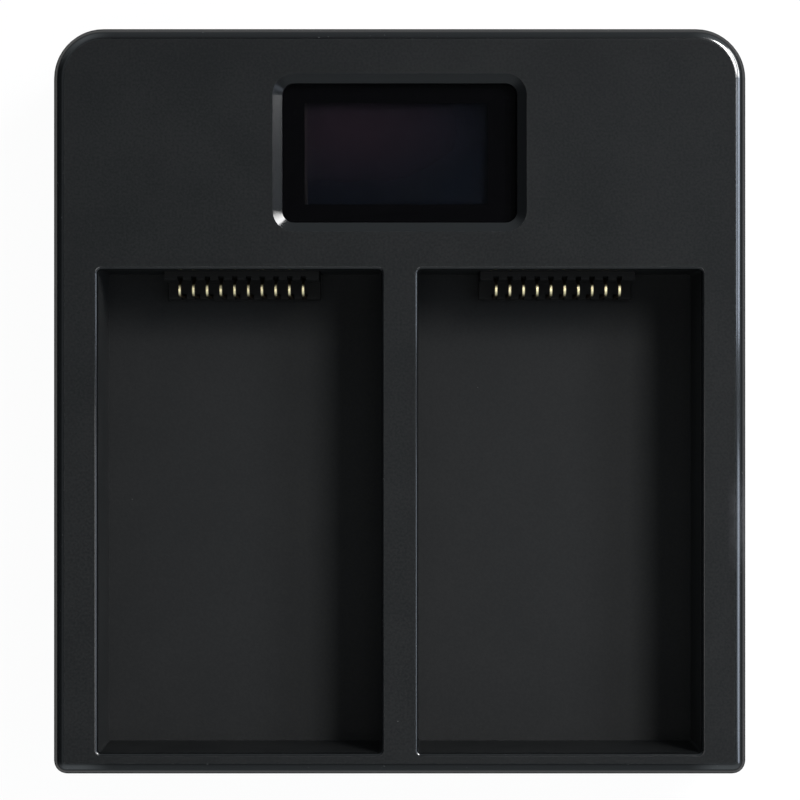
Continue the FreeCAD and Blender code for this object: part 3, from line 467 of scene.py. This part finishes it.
shell_low, shell_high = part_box("usb_shell")
tongue_middle = (shell_low.z + shell_high.z) / 2
tongue_tip, tongue_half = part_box("usb_tongue")[1].y, 0.35 * mm
pad_count, pad_pitch, pad_setback, pad_round = 12, 0.5 * mm, 0.4 * mm, 0.015 * mm
pad_width, pad_length, pad_height = 0.26 * mm, 3.2 * mm, 0.05 * mm
pads = bmesh.new()
for face in (-1, 1):
    for index in range(pad_count):
        pad = bmesh.ops.create_cube(pads, size=1.0)["verts"]
        bmesh.ops.scale(pads, vec=(pad_width, pad_length, pad_height), verts=pad)
        x = (index - (pad_count - 1) / 2) * pad_pitch
        y = tongue_tip - pad_setback - pad_length / 2
        z = tongue_middle + face * tongue_half
        bmesh.ops.translate(pads, vec=(x, y, z), verts=pad)
bmesh.ops.bevel(pads, geom=pads.edges[:], offset=pad_round, affect="EDGES", segments=2, profile=0.5,
                material=-1)
new_piece("inlet_pads", pads, gold_plate("inlet_gold")[0])

# Bottom cover: the tray that closes the dock from below, moulded in the same black ABS as the
# housing, with a lip that locates in it and four pillars for the screws.
cover_finish = moulded_black(
    "cover_black", (0.0095, 0.0101, 0.0106, 1.0), (0.0130, 0.0134, 0.0138, 1.0),
    dull=0.85, mirror=0.25, feature=0.30 * mm, depth=0.012 * mm)[0]
dress(cover_finish, "bottom_cover")

# Screws: pan-head steel screws with a black zinc plating, cold headed and thread rolled. Four hold the
# cover to the housing from below, and two hold the board.
screw_finish, tree, shader = new_finish("screw_black_zinc")
place = place_of(tree)
patchy = noise(tree, place, 0.3 * mm, detail=4.0)
zinc = blend(tree, patchy, (0.045, 0.045, 0.050, 1.0), (0.110, 0.110, 0.115, 1.0))
feed(tree, shader["Base Color"], zinc)
feed(tree, shader["Metallic"], 1.0)
feed(tree, shader["Roughness"], ramp(tree, patchy, 0.3, 0.7, 0.28, 0.45))
dress(screw_finish, "housing_screws", "board_screws")

# Feet: four discs moulded in soft black rubber and glued into shallow recesses of the cover. Their
# skin is matt and a little chalky.
rubber_finish, tree, shader = new_finish("foot_rubber")
place = place_of(tree)
chalk = noise(tree, place, 1.2 * mm, detail=5.0)
rubber = blend(tree, chalk, (0.012, 0.012, 0.012, 1.0), (0.028, 0.028, 0.027, 1.0))
feed(tree, shader["Base Color"], rubber)
feed(tree, shader["Roughness"], ramp(tree, chalk, 0.3, 0.7, 0.70, 0.88))
grain(tree, shader, place, 0.12 * mm, 0.006 * mm)
dress(rubber_finish, "foot_front_left", "foot_front_right", "foot_rear_left", "foot_rear_right")

# Table: a wide sheet of white card that the dock stands on. It takes the dock's shadow, and is white
# to the camera, in reflections and through the window.
table_half, glow_strength, glow_share = 3.0, 1.03, 0.93
sheet_shape = bmesh.new()
bmesh.ops.create_grid(sheet_shape, x_segments=1, y_segments=1, size=table_half)
sheet_mesh = bpy.data.meshes.new("table")
sheet_shape.to_mesh(sheet_mesh)
sheet_shape.free()
table = bpy.data.objects.new("table", sheet_mesh)
bpy.context.scene.collection.objects.link(table)
table_finish, tree, shader = new_finish("table_white")
feed(tree, shader["Base Color"], (0.80, 0.80, 0.80, 1.0))
feed(tree, shader["Roughness"], 0.9)
rays = add(tree, "LightPath").outputs
seen = combine(tree, "MAXIMUM", rays["Is Camera Ray"], rays["Is Glossy Ray"])
seen = combine(tree, "MAXIMUM", seen, rays["Is Transmission Ray"])
white = add(tree, "Emission", Color=(1.0, 1.0, 1.0, 1.0), Strength=glow_strength)
choice = add(tree, "MixShader")
feed(tree, choice.inputs[0], combine(tree, "MULTIPLY", seen, glow_share))
feed(tree, choice.inputs[1], tree.nodes["Principled BSDF"].outputs[0])
feed(tree, choice.inputs[2], white.outputs[0])
feed(tree, tree.nodes["Material Output"].inputs["Surface"], choice.outputs[0])
sheet_mesh.materials.append(table_finish)

# Studio light: a soft box at the upper right with a panel beside it for the rear corner, cool panels
# and farther strips along the right side for its edge, a small ceiling lamp that fills the bays, and
# a dark room that is paler towards the front and the back.
plain, cool = (1.00, 1.00, 1.00), (0.88, 1.00, 1.20)


def shine_on(name, width, length, watts, stand, target, tint, spread=180):
    """Rectangular lamp whose width runs along the side of the dock."""
    lamp = bpy.data.lights.new(name, "AREA")
    lamp.shape = "RECTANGLE"
    lamp.size = width
    lamp.size_y = length
    lamp.energy = watts
    lamp.color = tint
    lamp.spread = math.radians(spread)
    holder = bpy.data.objects.new(name, lamp)
    bpy.context.scene.collection.objects.link(holder)
    back = (Vector(stand) - Vector(target)).normalized()
    side = (Vector((0.0, 1.0, 0.0)) - back.y * back).normalized()
    holder.location = stand
    holder.rotation_euler = Matrix((side, back.cross(side), back)).transposed().to_euler()


shine_on("soft_box", 0.150, 0.090, 0.268, (0.190, 0.162, 0.300), (0.012, -0.105, top_z), plain, spread=75)
shine_on("corner_panel", 0.180, 0.070, 0.400, (0.310, 0.192, 0.252), (0.041, 0.042, top_z), plain)
shine_on("rear_panel", 0.115, 0.080, 0.130, (0.326, 0.075, 0.268), (0.040, 0.075, top_z), cool)
shine_on("front_panel", 0.150, 0.070, 0.095, (0.324, -0.090, 0.268), (0.040, -0.090, top_z), cool)
shine_on("rear_strip", 0.150, 0.190, 0.230, (0.519, 0.110, 0.897), (0.042, 0.030, top_z), cool)
shine_on("front_strip", 0.170, 0.260, 0.170, (0.630, -0.110, 0.827), (0.042, -0.025, top_z), cool)
shine_on("ceiling", 0.090, 0.140, 0.115, (0.000, -0.045, 0.300), (0.000, -0.045, top_z), plain)

dark_level, front_level, rear_level, side_level = 0.03, 0.28, 0.34, 0.22
room = bpy.data.worlds.new("room")
bpy.context.scene.world = room
room.use_nodes = True
tree = room.node_tree
direction = add(tree, "SeparateXYZ", Vector=add(tree, "TexCoord").outputs["Generated"]).outputs
front_wall = ramp(tree, direction["Y"], -0.75, -0.20, front_level, 0.0)
rear_wall = ramp(tree, direction["Y"], 0.25, 0.75, 0.0, rear_level)
side_walls = overlap(tree, ramp(tree, direction["Z"], 0.86, 0.97, side_level, 0.0),
                     ramp(tree, direction["X"], -0.7, -0.3))
level = combine(tree, "ADD", front_wall, dark_level)
level = combine(tree, "ADD", level, rear_wall)
level = combine(tree, "ADD", level, side_walls)
background = tree.nodes["Background"].inputs
feed(tree, background["Color"], (0.90, 1.00, 1.06, 1.0))
feed(tree, background["Strength"], level)

# Camera: straight above the dock, with the display end at the top of the picture. The field is what
# the picture takes in at the height of the housing's top.
camera_height, field = 0.280, 0.09904
aim_x, aim_y = 0.04 * mm, 0.16 * mm
scene = bpy.context.scene
scene.view_settings.view_transform = "Standard"
lens = bpy.data.cameras.new("camera")
lens.sensor_width = 36.0
lens.lens = lens.sensor_width * camera_height / field
lens.clip_start = 0.01
camera = bpy.data.objects.new("camera", lens)
scene.collection.objects.link(camera)
camera.location = (aim_x, aim_y, top_z + camera_height)
scene.camera = camera
